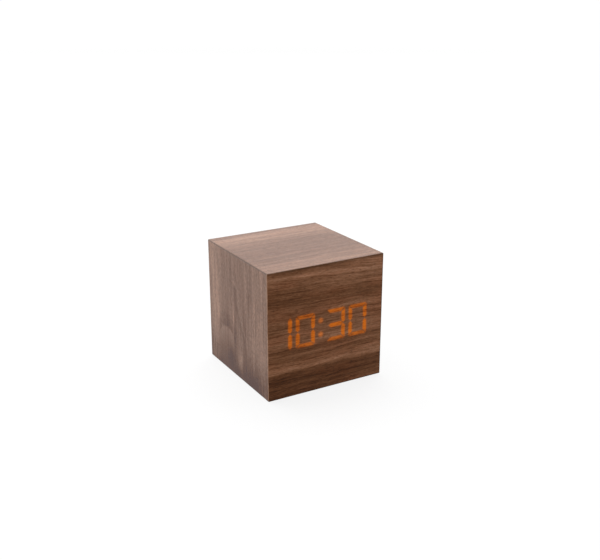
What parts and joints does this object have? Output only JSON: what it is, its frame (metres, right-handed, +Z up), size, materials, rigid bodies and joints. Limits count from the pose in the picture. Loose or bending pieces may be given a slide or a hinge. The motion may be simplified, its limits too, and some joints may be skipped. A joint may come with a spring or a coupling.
{
  "type": "desk clock",
  "caption": "Cube-shaped wooden desk clock. Lit digits show through the front veneer, with buttons and a power socket at the back and a battery door underneath.",
  "frame": {"origin": "middle of the base, on the surface the clock stands on", "axes": "+Z is up, the display faces -Y and +X is to the right of someone who reads it"},
  "size_m": [0.062, 0.062, 0.062],
  "materials": {
    "walnut_film": "satin walnut-pattern film on fibreboard",
    "veneer": "thin satin walnut veneer that lets the digits' light through",
    "white_plastic": "moulded, matt",
    "amber_lens": "clear amber resin",
    "amber_led": "lit amber lamp",
    "circuit_board": "green solder mask",
    "steel": "zinc plated",
    "tin": "tinned",
    "brass": "turned",
    "black_plastic": "moulded, fine satin",
    "microphone_can": "satin",
    "ribbon_grey": "flat cable insulation",
    "nickel": "nickel plated spring steel",
    "cell_sleeve": "plain sleeve",
    "red_insulation": "satin",
    "black_insulation": "satin"
  },
  "bodies": {
    "case": {"left_panel": "walnut_film", "right_panel": "walnut_film", "top_panel": "walnut_film", "bottom_panel": "walnut_film", "back_panel": "walnut_film", "front_panel": "walnut_film", "front_veneer": "veneer", "display_reflector": "white_plastic", "display_connector": "white_plastic", "main_connector": "white_plastic", "segment_lenses": "amber_lens", "segment_leds": "amber_led", "display_board": "circuit_board", "main_board": "circuit_board", "display_screws": "steel", "board_screws": "steel", "tray_screws": "steel", "coin_cell_clip": "steel", "chip_legs": "tin", "quartz_crystal": "tin", "socket_pin": "tin", "board_spacers": "brass", "set_switch": "black_plastic", "up_switch": "black_plastic", "down_switch": "black_plastic", "power_socket": "black_plastic", "temperature_sensor": "black_plastic", "controller_chip": "black_plastic", "buzzer": "black_plastic", "coin_cell_holder": "black_plastic", "battery_tray": "black_plastic", "microphone": "microphone_can", "ribbon_cable": "ribbon_grey", "coin_cell": "nickel", "positive_contact": "nickel", "negative_contact": "nickel", "front_link": "nickel", "rear_link": "nickel", "contact_springs": "nickel", "front_cell": "cell_sleeve", "middle_cell": "cell_sleeve", "rear_cell": "cell_sleeve", "positive_lead": "red_insulation", "negative_lead": "black_insulation"},
    "battery_door": {"battery_door": "black_plastic"},
    "set_button": {"set_cap": "black_plastic", "set_plunger": "black_plastic"},
    "up_button": {"up_cap": "black_plastic", "up_plunger": "black_plastic"},
    "down_button": {"down_cap": "black_plastic", "down_plunger": "black_plastic"}
  },
  "joints": [
    {"name": "battery_door_hinge", "type": "hinge", "parent": "case", "child": "battery_door", "pos_m": [0, -0.01635, 0.0003], "axis": [-1, 0, 0], "range_deg": [0, 55]},
    {"name": "set_press", "type": "slide", "parent": "case", "child": "set_button", "axis": [0, -1, 0], "range_m": [0, 0.0003], "stiffness_N_per_m": 4000},
    {"name": "up_press", "type": "slide", "parent": "case", "child": "up_button", "axis": [0, -1, 0], "range_m": [0, 0.0003], "stiffness_N_per_m": 4000},
    {"name": "down_press", "type": "slide", "parent": "case", "child": "down_button", "axis": [0, -1, 0], "range_m": [0, 0.0003], "stiffness_N_per_m": 4000}
  ]
}
